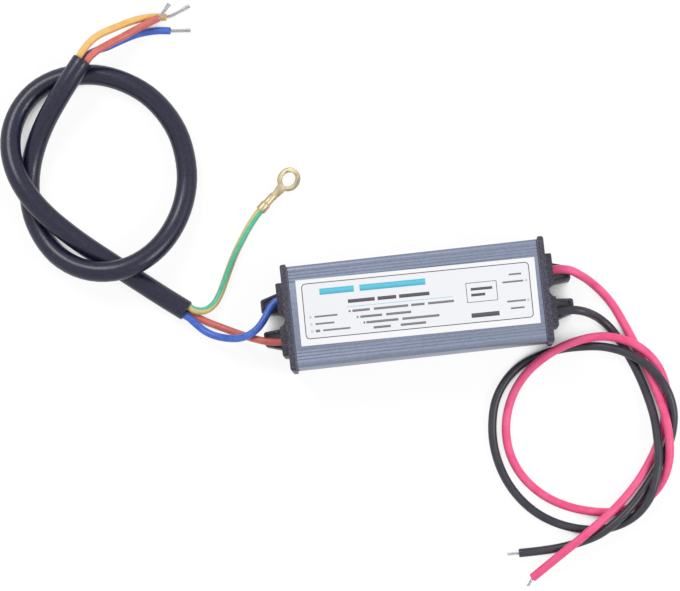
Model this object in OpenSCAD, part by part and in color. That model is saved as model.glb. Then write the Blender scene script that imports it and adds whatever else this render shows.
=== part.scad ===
// Waterproof LED driver: an aluminium tube case with a moulded cap at each end, a power board inside,
// a three-core mains cable on the input end and two silicone leads on the output end.
// Millimetres. The origin is the middle of the case's footprint on the table.
// X runs along the case to the output end, Y across it, Z up.

/* [Case] */
// Length of the aluminium extrusion
case_l = 86; // [80:1:120]
// Width of the extrusion
case_w = 35; // [34:0.5:42]
// Height of the extrusion
case_h = 22; // [21:0.5:27]
// Wall of the extrusion
case_wall = 1.8; // [1.4:0.1:2.2]
// Radius of the extrusion's four long edges
case_r = 1.5; // [0.8:0.1:2]
// Fine grooves along each long edge of the top face
groove_n = 4; // [2:1:5]
// Spacing of the grooves
groove_pitch = 1.1; // [0.9:0.05:1.3]
// Width of one groove
groove_w = 0.5; // [0.3:0.05:0.7]
// Depth of one groove
groove_depth = 0.35; // [0.2:0.05:0.6]
// From the long edge to the first groove
groove_inset = 2.4; // [1.8:0.1:3.2]
// How far the board rails stand out from the side walls
rail_out = 1.2; // [1:0.1:1.6]

/* [Label] */
// Length of the rating label
label_l = 82.2; // [60:0.2:84]
// Width of the rating label
label_w = 22.7; // [16:0.1:24]
// Thickness of the rating label
label_t = 0.2; // [0.1:0.05:0.3]
// How far the label sits towards the back edge
label_shift = 0.5; // [0:0.1:1]
// How far out of square the label is stuck on
label_turn = -0.7; // [-1:0.1:1]
// How far the label sits towards the output end
label_slide = 0.4; // [0:0.1:0.8]

/* [End caps] */
// Thickness of the flange
flange_t = 1.9; // [1.6:0.1:4]
// How far the flange stands proud of the extrusion all round
flange_proud = 0.9; // [0.6:0.1:1.4]
// Radius of the flange's corners
flange_r = 2.2; // [1.5:0.1:3]
// Radius of the flange's outer edges
flange_edge_r = 0.9; // [0.4:0.1:1.4]
// Thickness of the sealing gasket
gasket_t = 0.5; // [0.4:0.1:1]
// Depth of the plug inside the extrusion
plug_depth = 6; // [4:0.5:7]
// Wall of the plug
plug_wall = 1.6; // [1.2:0.1:2]
// Gap between the plug and the extrusion
plug_gap = 0.2; // [0.1:0.05:0.3]
// How far the boss stands out from the flange
boss_out = 2.4; // [1.5:0.1:3]
// Width across both halves of the boss
boss_w = 25.4; // [24:0.2:28]
// Height of the boss
boss_h = 16; // [15:0.5:18]
// Length of the two tongues beyond the boss
tongue_l = 6; // [4:0.1:9]
// Height of the tongues
tongue_h = 9.6; // [7:0.2:10]
// Width of a tongue where it leaves the boss
tongue_root_w = 8; // [6.5:0.1:8.5]
// Width of a tongue at its tip
tongue_tip_w = 4.7; // [3.5:0.1:5.5]
// Depth of the trough in a tongue's top
trough_depth = 1.2; // [0.6:0.1:2]
// Width of the rim round the trough
rim_w = 0.9; // [0.7:0.1:1.2]
// Width of the mounting slot at its root
slot_w = 5; // [4.4:0.1:5.6]
// Angle that each side of the slot opens by
slot_flare = 7.4; // [2:0.2:8]
// Wall of the hollow underside of boss and tongues
core_wall = 1.5; // [1.2:0.1:1.8]

/* [Board] */
// Thickness of the circuit board
board_t = 1.6; // [1.2:0.2:1.6]
// From the inner floor of the case to the board's underside
board_lift = 2.8; // [2.4:0.1:3.2]
// Thickness of the insulation sheet under the board
sheet_t = 0.4; // [0.3:0.1:0.6]

/* [Cords] */
// Diameter of the mains cable
cable_d = 7.2; // [6.8:0.1:7.4]
// Diameter of each insulated core of the mains cable
core_d = 2.6; // [2.4:0.1:2.8]
// Diameter of each output lead
lead_d = 3; // [2.6:0.1:3]
// Diameter of the bare strands at a stripped end
strand_d = 1.2; // [0.8:0.1:1.6]
// Bolt hole of the ring terminal
ring_hole_d = 5.3; // [4.3:0.1:5.5]
// Outer diameter of the ring terminal
ring_d = 8.5; // [8.5:0.1:10]
// Thickness of the ring terminal's sheet
ring_t = 0.8; // [0.6:0.1:1]

/* [Hidden] */
$fn = 48;
eps = 0.01;

// Case, worked out from the driving sizes
base_z = flange_proud;
top_z = base_z + case_h;
inner_w = case_w - 2 * case_wall;
inner_h = case_h - 2 * case_wall;
inner_r = 0.8;
mid_z = base_z + case_h / 2;

// End cap stations along X, from the extrusion's end outwards
flange_x0 = case_l / 2 + gasket_t;
flange_x1 = flange_x0 + flange_t;
boss_x = flange_x1 + boss_out;
tip_x = boss_x + tongue_l;
cap_w = case_w + 2 * flange_proud;
cap_h = case_h + 2 * flange_proud;
boss_edge_r = 0.6;
tongue_r = 0.9;
notch_w = 0.9;
notch_y = -11.3;
notch_depth = 1.2;
// The slot's round root stands just clear of the flange, so that a screw comes straight down past it
slot_clear = 0.4;
slot_x = flange_x1 + slot_clear + slot_w / 2;

// The leads leave the boss just above the tongues
exit_y = 7.25;
lead_clear = 0.2;
bore_gap = 0.3;
exit_z = tongue_h + lead_d / 2 + lead_clear;
exit_hole_r = lead_d / 2 + bore_gap;

// Board, held in the rails
board_gap = 0.2;
board_z0 = base_z + case_wall + board_lift;
board_z = board_z0 + board_t;
board_l = case_l - 2 * plug_depth - 2 * board_gap;
board_w = inner_w - 2 * board_gap;
rail_t = 1;
rail_root = 0.5;
sheet_inset = 1;
pin_r = 0.35;
hole_r = 0.55;
pin_drop = board_t + 1;

// Where each component stands on the board
fuse_at = [-28.5, -8];
varistor_at = [-28.5, 8];
x_cap_at = [-19.5, 6.5];
bridge_at = [-19.5, -8];
choke_at = [-8.5, 8];
in_cap_at = [-13, -8.5];
transistor_at = [-1.2, 0.6];
chip_at = [0.3, 9.5];
core_at = [11.5, 1.5];
y_cap_at = [11.5, -11.5];
diode_at = [26, 10.5];
out_cap_at = [22, -8.5];
resistors_at = [21.5, 2];

// Sizes of the bought components
fuse_d = 8.4;
fuse_h = 7.6;
varistor_d = 9;
varistor_t = 4;
x_cap_size = [6, 13, 11];
bridge_size = [8.3, 6.4, 3.2];
choke_d = 10;
choke_bore_d = 5;
choke_h = 5;
choke_turns = 7;
choke_wire_d = 0.8;
in_cap_d = 10;
in_cap_l = 16;
out_cap_d = 8;
out_cap_l = 11;
y_cap_d = 7.5;
y_cap_t = 3.5;
diode_d = 5;
diode_l = 8.5;
chip_size = [4.9, 3.9, 1.5];
tab_size = [2.3, 6.6, 6.1];
resistor_size = [3.2, 1.6, 0.6];
resistor_pitch = [4.2, 2.6];

// Transformer: two E cores meeting in the bobbin, whose axis runs along X
core_l = 16.4;
core_w = 16;
core_t = 4.8;
core_leg = 4;
core_side = 2;
core_fit = 0.2;
bobbin_wall = 0.7;
bobbin_flange_t = 1;
bobbin_span = core_l - 2 * core_side - 2 * core_fit;
bobbin_w = core_w - 2 * core_side - 2 * core_fit;
bobbin_h = 12;
bobbin_z = board_z + bobbin_h / 2;
winding_h = bobbin_h - 1.2;
winding_w = bobbin_w - 1.2;

fuse_pins = [[0, -2.54], [0, 2.54]];
varistor_pins = [[-2.5, 0], [2.5, 0]];
x_cap_pins = [[0, -5], [0, 5]];
bridge_pins = [for (x = [-2.54, 2.54], y = [-3.81, 3.81]) [x, y]];
choke_pins = [for (x = [-3.6, 3.6], y = [-3.6, 3.6]) [x, y]];
in_cap_pins = [[-1.6, -2.5], [-1.6, 2.5]];
out_cap_pins = [[-1.6, -1.75], [-1.6, 1.75]];
transistor_pins = [for (y = [-2.3, 0, 2.3]) [0, y]];
y_cap_pins = [[-2.5, 0], [2.5, 0]];
diode_pins = [[-7, 0], [7, 0]];
bobbin_pins = [for (x = [-1, 1], y = [-4, 0, 4]) [x * (bobbin_span - bobbin_flange_t) / 2, y]];

// Cord routes. X is counted from the boss face that the cord belongs to, Y from the case's middle line
// and Z from the table. The mains cable loops over itself, and the output leads lie in two loose turns.
cable_route = [[-32.1, 7.6, 3.6], [-38.8, 12.8, 3.6], [-45.5, 18.2, 3.7], [-52, 23.5, 4.1], [-58.5, 28.8, 5.2],
    [-64.9, 34.1, 7.2], [-70.9, 39.6, 9.4], [-76.7, 45.7, 11.1], [-81.6, 52.5, 11.7], [-85.2, 60.1, 10.8],
    [-86.9, 68.2, 8.9], [-86.3, 76.3, 6.7], [-82.9, 83.9, 5], [-77.1, 89.9, 4], [-69.4, 93.4, 3.7],
    [-60.9, 94.3, 3.6], [-52.6, 93, 3.7], [-44.8, 89.6, 3.8], [-37.9, 84.6, 3.8], [-32.6, 78.1, 3.8],
    [-28.8, 70.4, 3.7], [-27.1, 62.2, 3.6], [-27.1, 53.7, 3.8], [-29.1, 45.5, 4.7], [-32.7, 38.1, 6.2],
    [-37.8, 31.6, 8.5], [-44.3, 26.7, 10.7], [-52.2, 23.9, 11.9], [-60.6, 24, 11.3], [-68.3, 26.8, 9.3],
    [-74.7, 31.9, 6.9], [-79.2, 38.8, 5], [-81.9, 46.7, 4], [-82.4, 55.2, 3.7], [-81.1, 63.5, 4.1],
    [-78.1, 71.4, 5.5], [-74, 78.5, 7.5], [-69.1, 85.1, 9.6], [-63.9, 91.6, 10.9], [-58.5, 98.2, 11]];
neutral_route = [[-28.9, 2.2, 4.6], [-26.4, -0.2, 5], [-23.6, -2, 6], [-20.6, -3.2, 7.3], [-17.5, -4, 8.9],
    [-14.4, -4.3, 10.5], [-11.2, -3.7, 11.8], [-8.2, -2.1, 12.4], [-5.8, 0.3, 12.3], [-3.9, 3.1, 11.8],
    [-2.5, 5.2, 11.4], [-0.8, 6.8, 11.3]];
live_route = [[-27.5, 4.3, 1.9], [-24.5, 2.6, 2], [-21.6, 1.1, 2.4], [-18.7, -0.4, 3.3], [-16, -1.8, 4.7],
    [-13.4, -3.1, 6.4], [-11, -4.3, 8.5], [-8.5, -5.4, 10.3], [-5.4, -6.5, 11.4], [-2.1, -7.1, 11.4]];
earth_route = [[-25.7, 7.1, 3.2], [-22.4, 9.1, 2], [-20.1, 12.3, 1.5], [-18.3, 15.8, 1.4], [-16.6, 19.4, 1.4],
    [-14.8, 23, 1.4], [-12.9, 26.5, 1.5], [-10.7, 29.8, 1.9], [-8.5, 33.1, 2.2], [-6, 36.4, 2.3]];
far_earth_route = [[-55.4, 104.2, 10.9], [-52.1, 106.6, 9.4], [-48.4, 108.2, 7.6], [-44.8, 109.6, 5.7],
    [-41, 110.9, 4], [-36.9, 111.8, 2.7], [-32.7, 112, 1.8], [-28.4, 111.5, 1.4]];
far_live_route = [[-52.9, 101.1, 10.9], [-50, 102.6, 9.4], [-47.1, 104.1, 7.9], [-44.1, 105.5, 6.6],
    [-40.9, 107, 5.6], [-37.6, 108.4, 5], [-34.3, 109.8, 4.6], [-30.9, 111.1, 4.4]];
far_neutral_route = [[-53.6, 101.5, 8], [-50.2, 102.5, 6], [-46.9, 103.9, 4.2], [-43.4, 105.3, 2.7],
    [-39.6, 106.5, 1.8], [-35.6, 107, 1.4], [-31.5, 107, 1.4], [-27.5, 106.5, 1.4]];
positive_route = [[2.9, 7.1, 11.4], [6.2, 6.3, 11.3], [9, 4.7, 9.8], [11.4, 3.2, 6.9], [13.7, 1.4, 3.6],
    [16.8, -1.9, 1.6], [19.8, -6.5, 1.8], [22.9, -13.3, 1.7], [25.6, -20.1, 1.6], [28, -27, 1.8],
    [30.3, -33.9, 2.8], [32.1, -40.9, 4.3], [33.4, -48.1, 5.4], [33.7, -55.4, 5.4], [32.8, -62.6, 4.3],
    [29.9, -69.1, 2.8], [24.8, -74.2, 1.8], [18.1, -77.1, 1.6], [10.9, -77.9, 1.7], [3.9, -76.8, 1.8],
    [-2.9, -74.6, 1.8], [-9.4, -71.1, 1.7], [-14.9, -66.3, 1.7], [-19.1, -60.3, 1.6], [-21.5, -53.4, 1.6],
    [-21.9, -46, 1.6], [-20.4, -38.9, 1.8], [-17.2, -32.3, 2.5], [-12.5, -26.8, 3.7], [-6.6, -22.6, 4.8],
    [0, -19.5, 5.4], [6.9, -17.7, 5.6], [14.2, -17.2, 5.6], [21.3, -18.9, 5.5], [27.5, -22.6, 4.9],
    [32.2, -28.2, 3.6], [34.6, -35, 2.3], [34.5, -42.2, 1.6], [32.7, -49.3, 1.6], [29.8, -56, 1.8],
    [26.1, -62.3, 2.3], [21.6, -68.1, 3.1], [16.5, -73.3, 4.3], [11, -77.9, 5.5], [5.3, -81.9, 6.4],
    [-0.5, -85.8, 6.2], [-6.6, -89.7, 4.8], [-12.6, -93.6, 2.9], [-18.6, -97.5, 1.5]];
negative_route = [[2.8, -7.2, 11.3], [6.3, -7.5, 11.3], [9.4, -8.3, 10.1], [11.9, -9.3, 7.2],
    [14.5, -10.8, 3.8], [17.7, -13.9, 1.6], [20.5, -18.5, 1.6], [23.6, -25.3, 1.6], [26.2, -32.2, 1.9],
    [28.1, -39.3, 2.7], [29.4, -46.5, 3.9], [29.7, -53.8, 5], [29.3, -61.1, 5.8], [27.6, -68.3, 5.9],
    [24.4, -74.9, 5.2], [19.2, -80, 3.7], [12.6, -82.8, 2.2], [5.5, -83.4, 1.6], [-1.4, -82.2, 1.7],
    [-8.3, -79.5, 1.8], [-14.4, -75.5, 1.9], [-19.5, -70.1, 1.7], [-23.3, -63.8, 1.6], [-25.7, -56.8, 1.6],
    [-26.7, -49.5, 1.6], [-26.2, -42.1, 1.7], [-24.2, -35, 1.7], [-20.2, -28.8, 1.7], [-14.5, -24.1, 1.6],
    [-7.7, -21.4, 1.6], [-0.4, -19.9, 1.9], [6.8, -19.8, 2.7], [14.1, -20.6, 3.8], [20.9, -23, 4.9],
    [27, -27, 5.7], [32, -32.5, 5.9], [35.2, -39.1, 5.4], [36.3, -46.2, 3.9], [35, -53.3, 2.3],
    [31.9, -60, 1.6], [27.7, -66, 2.1], [23.1, -71.6, 3.6], [18, -76.8, 5.1], [12.3, -81.4, 5.7],
    [6.2, -85, 4.7], [-0.2, -86.9, 2.9], [-7.4, -88.1, 1.7], [-14.8, -88.5, 1.6], [-22.2, -88.5, 2]];
core_tip_l = 7;
lead_tip_l = 4;
core_spread = 1.6;
core_raise = 0.85;
bend_in = 1.3;
bore_run = 1;
pad_x = 34;
pad_run = 4;
pad_rise = 0.8;

// The ring terminal carries on along the earth lead's last stretch, rolled over onto one edge
terminal_at = [-0.8, 41.75, 2.35];
terminal_yaw = 42.6;
terminal_roll = 35;
terminal_reach = 11.9;
barrel_wall = 0.4;
barrel_gap = 0.05;
barrel_grip = 2.8;
barrel_entry = 4;
crimp_l = 4.4;
crimp_d = 2.8;
crimp_taper = 0.8;
seam_w = 0.3;
strap_rise = 0.2;
strap_w = 2.4;
strap_flare = 4.6;

function unit(v) = v / norm(v);
function placed(route, x) = [for (p = route) p + [x, 0, 0]];
function heading(p, i) = unit(p[min(i + 1, len(p) - 1)] - p[max(i - 1, 0)]);
function side(t) = unit(cross(t, [0, 0, 1]));
// The middle of a core where it leaves the cable's cut face: a is sideways, b upwards
function core_seat(p, i, a, b) = let (t = heading(p, i), s = side(t)) p[i] + a * s + b * cross(s, t);

// A rectangle with round corners, about its middle
module rounded_rect(w, h, r) {
    square([w - 2 * r, h], center = true);
    square([w, h - 2 * r], center = true);
    for (x = [-1, 1], y = [-1, 1]) translate([x * (w / 2 - r), y * (h / 2 - r)]) circle(r);
}

// A convex outline, counter-clockwise, with each corner rounded by its own radius
function turn(p, i) = let (n = len(p), u = unit(p[(i + n - 1) % n] - p[i]), v = unit(p[(i + 1) % n] - p[i]))
    [u, v, acos(u * v) / 2];
module rounded_polygon(p, r) {
    polygon([for (i = [0:len(p) - 1]) let (c = turn(p, i), d = r[i] / tan(c[2])) each [p[i] + c[0] * d, p[i] + c[1] * d]]);
    for (i = [0:len(p) - 1]) if (r[i] > 0) {
        c = turn(p, i);
        translate(p[i] + unit(c[0] + c[1]) * r[i] / sin(c[2])) circle(r[i]);
    }
}

// Stand a YZ outline up and run it along X from x0
module along_x(x0, l) {
    translate([x0, 0, 0]) rotate([90, 0, 90]) linear_extrude(l) children();
}

module case_outline() {
    translate([0, mid_z]) rounded_rect(case_w, case_h, case_r);
}

module cavity_outline() {
    translate([0, mid_z]) rounded_rect(inner_w, inner_h, inner_r);
}

// The board's rails: one below and one above its edge, on both side walls
module rail_outline(grow) {
    for (s = [-1, 1], z = [board_z0 - rail_t, board_z + board_gap])
        translate([s * (inner_w / 2 - (rail_out - rail_root) / 2), z + rail_t / 2])
            square([rail_out + rail_root + 2 * grow, rail_t + 2 * grow], center = true);
}

// Aluminium extrusion, sawn to length, with fine grooves along the long edges of its top
module case_extrusion() {
    color("slategray") along_x(-case_l / 2, case_l) {
        difference() {
            case_outline();
            cavity_outline();
            for (s = [-1, 1], i = [0:groove_n - 1])
                translate([s * (case_w / 2 - groove_inset - i * groove_pitch), top_z])
                    square([groove_w, 2 * groove_depth], center = true);
        }
        rail_outline(0);
    }
}

// Printed self-adhesive label
module rating_label() {
    color("white") translate([label_slide, label_shift, top_z]) rotate([0, 0, label_turn]) linear_extrude(label_t)
        square([label_l, label_w], center = true);
}

// Plan of the slot: a round root that opens outwards
module slot_plan() {
    r = slot_w / 2;
    reach = tip_x + 2 - slot_x;
    translate([slot_x, 0]) {
        circle(r);
        polygon([[0, -r], [reach, -r - reach * tan(slot_flare)], [reach, r + reach * tan(slot_flare)], [0, r]]);
    }
}

// Plan of one tongue, shrunk by an even margin, on the side s of the slot
module tongue_plan(s, margin) {
    root = slot_w / 2;
    slot_edge = root + (tip_x - slot_x) * tan(slot_flare);
    p = [[flange_x1 + margin * 1.5, root + margin], [tip_x - margin, slot_edge + margin],
        [tip_x - margin, slot_edge + tongue_tip_w - margin], [flange_x1 + margin * 1.5, root + tongue_root_w - margin]];
    r = tongue_r - margin / 2;
    mirror([0, s < 0 ? 1 : 0]) rounded_polygon(p, [0, r, r, 0]);
}

// One moulded end cap: plug, flange, two-part boss, and two troughed tongues beside the mounting slot
module end_cap() {
    difference() {
        union() {
            along_x(case_l / 2 - plug_depth, plug_depth + gasket_t + eps) difference() {
                translate([0, mid_z]) rounded_rect(inner_w - 2 * plug_gap, inner_h - 2 * plug_gap, inner_r);
                translate([0, mid_z]) rounded_rect(inner_w - 2 * plug_gap - 2 * plug_wall,
                    inner_h - 2 * plug_gap - 2 * plug_wall, inner_r);
                rail_outline(plug_gap);
            }
            intersection() {
                along_x(flange_x0, flange_t) translate([0, cap_h / 2]) rounded_rect(cap_w, cap_h, flange_r);
                linear_extrude(cap_h) rounded_polygon([[flange_x0, -cap_w / 2], [flange_x1, -cap_w / 2],
                    [flange_x1, cap_w / 2], [flange_x0, cap_w / 2]], [0, flange_edge_r, flange_edge_r, 0]);
            }
            linear_extrude(boss_h) rounded_polygon([[flange_x1 - 1, -boss_w / 2], [boss_x, -boss_w / 2],
                [boss_x, boss_w / 2], [flange_x1 - 1, boss_w / 2]], [0, boss_edge_r, boss_edge_r, 0]);
            for (s = [-1, 1]) linear_extrude(tongue_h) tongue_plan(s, 0);
        }
        translate([0, 0, -1]) linear_extrude(boss_h + 1) slot_plan();
        for (s = [-1, 1]) {
            // Bore for the lead
            translate([case_l / 2, s * exit_y, exit_z]) rotate([0, 90, 0]) cylinder(r = exit_hole_r, h = boss_x);
            // Trough on top of the tongue and hollow underneath it, both clear of the boss
            intersection() {
                translate([0, 0, tongue_h - trough_depth]) linear_extrude(boss_h) tongue_plan(s, rim_w);
                translate([boss_x, -cap_w / 2, 0]) cube([tongue_l, cap_w, cap_h]);
            }
            translate([0, 0, -1]) linear_extrude(1 + tongue_h - trough_depth - core_wall) tongue_plan(s, core_wall);
        }
        // Moulding notch down the boss
        translate([boss_x - notch_depth, notch_y - notch_w / 2, -1]) cube([boss_out, notch_w, boss_h + 2]);
    }
}

module input_end_cap() {
    color("dimgray") rotate([0, 0, 180]) end_cap();
}

module output_end_cap() {
    color("dimgray") end_cap();
}

// Rubber gasket squeezed between the extrusion's sawn end and the flange
module gasket() {
    along_x(case_l / 2, gasket_t) difference() {
        case_outline();
        cavity_outline();
    }
}

module input_gasket() {
    color("black") rotate([0, 0, 180]) gasket();
}

module output_gasket() {
    color("black") gasket();
}

// Legs of a component, through the board
module pins(at, list, up) {
    for (p = list) translate([at[0] + p[0], at[1] + p[1], board_z - pin_drop]) cylinder(r = pin_r, h = pin_drop + up, $fn = 16);
}

module pin_holes(at, list) {
    for (p = list) translate([at[0] + p[0], at[1] + p[1], board_z0 - 1]) cylinder(r = hole_r, h = board_t + 2, $fn = 16);
}

// Glass-fibre board, drilled for the legs of every component
module circuit_board() {
    color("darkgreen") difference() {
        translate([-board_l / 2, -board_w / 2, board_z0]) cube([board_l, board_w, board_t]);
        pin_holes(fuse_at, fuse_pins);
        pin_holes(varistor_at, varistor_pins);
        pin_holes(x_cap_at, x_cap_pins);
        pin_holes(bridge_at, bridge_pins);
        pin_holes(choke_at, choke_pins);
        pin_holes(in_cap_at, in_cap_pins);
        pin_holes(out_cap_at, out_cap_pins);
        pin_holes(transistor_at, transistor_pins);
        pin_holes(y_cap_at, y_cap_pins);
        pin_holes(diode_at, diode_pins);
        pin_holes(core_at, bobbin_pins);
    }
}

// Film that keeps the solder side off the aluminium
module insulation_sheet() {
    color("ivory") translate([-board_l / 2, sheet_inset - inner_w / 2, base_z + case_wall])
        cube([board_l, inner_w - 2 * sheet_inset, sheet_t]);
}

// Round radial fuse
module input_fuse() {
    color("black") {
        translate([fuse_at[0], fuse_at[1], board_z]) cylinder(d = fuse_d, h = fuse_h);
        pins(fuse_at, fuse_pins, 1);
    }
}

// Disc standing on two legs
module disc_part(at, d, t, list) {
    lift = 1;
    translate([at[0], at[1] + t / 2, board_z + lift + d / 2]) rotate([90, 0, 0]) cylinder(d = d, h = t);
    pins(at, list, lift + d / 2);
}

module varistor() {
    color("royalblue") disc_part(varistor_at, varistor_d, varistor_t, varistor_pins);
}

module y_capacitor() {
    color("steelblue") disc_part(y_cap_at, y_cap_d, y_cap_t, y_cap_pins);
}

// Boxed film capacitor across the mains
module x_capacitor() {
    color("gold") {
        translate([x_cap_at[0] - x_cap_size[0] / 2, x_cap_at[1] - x_cap_size[1] / 2, board_z]) cube(x_cap_size);
        pins(x_cap_at, x_cap_pins, 1);
    }
}

module at_choke(z) {
    translate([choke_at[0], choke_at[1], board_z + z]) children();
}

// Ferrite ring of the line choke, lying on its windings
module choke_core() {
    color("darkslategray") at_choke(choke_wire_d) difference() {
        cylinder(d = choke_d, h = choke_h);
        translate([0, 0, -1]) cylinder(d = choke_bore_d, h = choke_h + 2);
    }
}

// Two windings of enamelled wire round the ring, each turn a square loop, with their legs
module choke_windings() {
    gap = 0.05;
    radial = (choke_d - choke_bore_d) / 2;
    color("peru") {
        at_choke(0) for (half = [0, 180], i = [0:choke_turns - 1])
            rotate([0, 0, half + 18 + i * 144 / (choke_turns - 1)]) translate([choke_bore_d / 2, 0, 0])
                rotate([90, 0, 0]) linear_extrude(choke_wire_d, center = true) difference() {
                    translate([-choke_wire_d, 0]) square([radial + 2 * choke_wire_d, choke_h + 2 * choke_wire_d]);
                    translate([-gap, choke_wire_d - gap]) square([radial + 2 * gap, choke_h + 2 * gap]);
                }
        pins(choke_at, choke_pins, choke_wire_d);
    }
}

// Moulded bridge with four legs
module bridge_rectifier() {
    color("black") {
        translate([bridge_at[0] - bridge_size[0] / 2, bridge_at[1] - bridge_size[1] / 2, board_z + 0.5]) cube(bridge_size);
        for (p = bridge_pins) translate([bridge_at[0] + p[0], bridge_at[1] + p[1], board_z])
            translate([-0.6, p[1] > 0 ? -0.9 : -0.3, 0]) cube([1.2, 1.2, 1.6]);
        pins(bridge_at, bridge_pins, 0.5);
    }
}

// Electrolytic can lying along X, with its beaded end and legs at the low end of X
module lying_can(at, d, l, list) {
    lead_bend = 0.5;
    translate([at[0], at[1], board_z + d / 2]) rotate([0, 90, 0]) rotate_extrude() polygon([[0, 0], [d / 2 - 0.4, 0],
        [d / 2, 0.6], [d / 2, 1.4], [d / 2 - 0.5, 1.9], [d / 2, 2.4], [d / 2, l - 0.5], [d / 2 - 0.5, l], [0, l]]);
    for (p = list) {
        translate([at[0] + p[0] - pin_r, at[1] + p[1], board_z + d / 2]) rotate([0, 90, 0])
            cylinder(r = pin_r, h = -p[0] + pin_r + lead_bend, $fn = 16);
    }
    pins(at, list, d / 2);
}

module input_capacitor() {
    color("midnightblue") lying_can(in_cap_at, in_cap_d, in_cap_l, in_cap_pins);
}

module output_capacitor() {
    color("midnightblue") lying_can(out_cap_at, out_cap_d, out_cap_l, out_cap_pins);
}

module at_core() {
    translate([core_at[0], core_at[1], bobbin_z]) children();
}

// Pair of ferrite E cores, closed round the bobbin
module transformer_core() {
    window = (core_w - core_leg) / 2 - core_side;
    color("dimgray") at_core() translate([0, 0, -core_t / 2]) linear_extrude(core_t) difference() {
        square([core_l, core_w], center = true);
        for (s = [-1, 1]) translate([0, s * (core_leg + window) / 2])
            square([core_l - 2 * core_side, window], center = true);
    }
}

// A square tube about X
module square_tube(l, w, h, bore_w, bore_h) {
    difference() {
        cube([l, w, h], center = true);
        cube([l + 1, bore_w, bore_h], center = true);
    }
}

// Moulded bobbin: a tube round the middle leg, two flanges and six legs
module transformer_bobbin() {
    bore_w = core_leg + 2 * core_fit;
    bore_h = core_t + 2 * core_fit;
    color("black") {
        at_core() {
            square_tube(bobbin_span, bore_w + 2 * bobbin_wall, bore_h + 2 * bobbin_wall, bore_w, bore_h);
            for (s = [-1, 1]) translate([s * (bobbin_span - bobbin_flange_t) / 2, 0, 0])
                square_tube(bobbin_flange_t, bobbin_w, bobbin_h, bore_w, bore_h);
        }
        pins(core_at, bobbin_pins, 1);
    }
}

// Primary and secondary, wound and taped as one bundle
module transformer_winding() {
    color("goldenrod") at_core() square_tube(bobbin_span - 2 * bobbin_flange_t, winding_w, winding_h,
        core_leg + 2 * core_fit + 2 * bobbin_wall, core_t + 2 * core_fit + 2 * bobbin_wall);
}

// Eight-legged control chip
module controller_chip() {
    leg_w = 0.42;
    leg_pitch = 1.27;
    leg_out = 1;
    color("black") translate([chip_at[0], chip_at[1], board_z]) {
        translate([-chip_size[0] / 2, -chip_size[1] / 2, 0.1]) cube(chip_size);
        for (s = [-1, 1], i = [-1.5:1:1.5])
            translate([i * leg_pitch - leg_w / 2, s * (chip_size[1] / 2 + leg_out / 2) - leg_out / 2 - 0.1, 0])
                cube([leg_w, leg_out + 0.2, 0.3]);
    }
}

// Switching transistor standing on three legs, its metal tab on the back
module switch_transistor() {
    lift = 2;
    tab_t = 0.5;
    color("black") {
        translate([transistor_at[0] - tab_size[0] / 2, transistor_at[1] - tab_size[1] / 2, board_z + lift]) {
            cube(tab_size);
            translate([tab_size[0] - tab_t, 0.6, tab_size[2] - eps]) cube([tab_t, tab_size[1] - 1.2, 1]);
        }
        pins(transistor_at, transistor_pins, lift + 1);
    }
}

// Axial diode on two bent legs
module output_diode() {
    axis_z = board_z + diode_d / 2;
    color("black") {
        translate([diode_at[0] - diode_l / 2, diode_at[1], axis_z]) rotate([0, 90, 0]) cylinder(d = diode_d, h = diode_l);
        translate([diode_at[0] + diode_pins[0][0] - pin_r, diode_at[1], axis_z]) rotate([0, 90, 0])
            cylinder(r = pin_r, h = diode_pins[1][0] - diode_pins[0][0] + 2 * pin_r, $fn = 16);
        pins(diode_at, diode_pins, diode_d / 2);
    }
}

// Surface-mounted resistors in two rows
module chip_resistors() {
    color("darkgray") for (i = [0:2], j = [0:1])
        translate([resistors_at[0] + i * resistor_pitch[0], resistors_at[1] + j * resistor_pitch[1], board_z])
            cube(resistor_size);
}

// A cord: rings of points along its path, joined into one closed skin
module cord(path, d, sides) {
    n = len(path);
    ring = [for (i = [0:n - 1]) let (t = heading(path, i), s = side(t), u = cross(s, t))
        for (k = [0:sides - 1]) path[i] + (cos(k * 360 / sides) * s + sin(k * 360 / sides) * u) * d / 2];
    skin = [for (i = [0:n - 2], k = [0:sides - 1])
        let (a = i * sides + k, b = i * sides + (k + 1) % sides) each [[a, b, b + sides], [a, b + sides, a + sides]]];
    first = [for (k = [sides - 1:-1:0]) k];
    last = [for (k = [0:sides - 1]) (n - 1) * sides + k];
    polyhedron(ring, concat([first], skin, [last]));
}

// Straight piece of round stock between two points
module rod(from, to, d) {
    v = to - from;
    translate(from) rotate([0, acos(v[2] / norm(v)), atan2(v[1], v[0])]) cylinder(d = d, h = norm(v), $fn = 24);
}

cable_path = placed(cable_route, -boss_x);
cable_end = len(cable_path) - 1;
cut_in = -heading(cable_path, 0);
cut_out = heading(cable_path, cable_end);
stub = 2;
// A core's first stretch stands square on the cable's cut face
function from_cable(seat, out, route) = concat([seat, seat + out * stub], placed(route, -boss_x));
// A lead's run from inside the boss through the cap to its pad on the board, on the end e = -1 or 1 and side y
function into_board(e, y, d) = [[e * (boss_x - bend_in), y, exit_z], [e * (case_l / 2 - bore_run), y, exit_z],
    [e * (pad_x + pad_run), y, board_z + d / 2 + pad_rise], [e * pad_x, y, board_z + d / 2]];
function reversed(p) = [for (i = [len(p) - 1:-1:0]) p[i]];

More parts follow.
